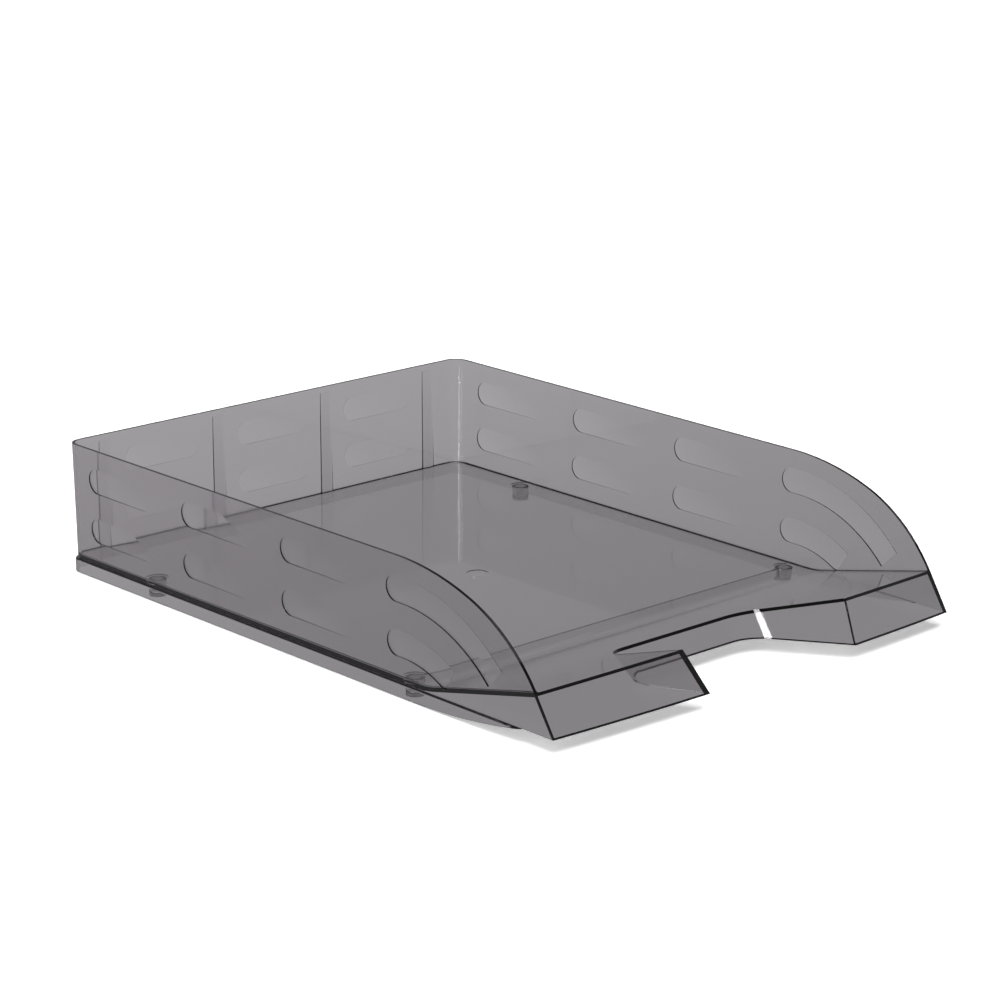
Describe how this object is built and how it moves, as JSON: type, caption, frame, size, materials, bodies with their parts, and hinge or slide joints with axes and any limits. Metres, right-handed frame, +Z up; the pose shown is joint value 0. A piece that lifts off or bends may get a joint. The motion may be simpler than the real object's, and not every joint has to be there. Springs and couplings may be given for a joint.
{
  "type": "letter tray",
  "caption": "Open-fronted desk letter tray in clear smoke plastic, with a ramped floor, a slanted finger notch in the front lip, embossed walls and small round feet.",
  "frame": {"origin": "desk level under the middle of the tray's outline", "axes": "+Z up from the desk, +Y to the rear wall, +X to the right seen from the open front"},
  "size_m": [0.255, 0.3487, 0.065],
  "materials": {
    "smoke_plastic": "clear smoke-grey polystyrene, polished, moulded in one piece",
    "foot_plastic": "soft smoke-grey plastic, slightly dull"
  },
  "bodies": {
    "root": {"tray": "smoke_plastic", "front_left_foot": "foot_plastic", "front_right_foot": "foot_plastic", "rear_left_foot": "foot_plastic", "rear_right_foot": "foot_plastic"}
  },
  "joints": []
}
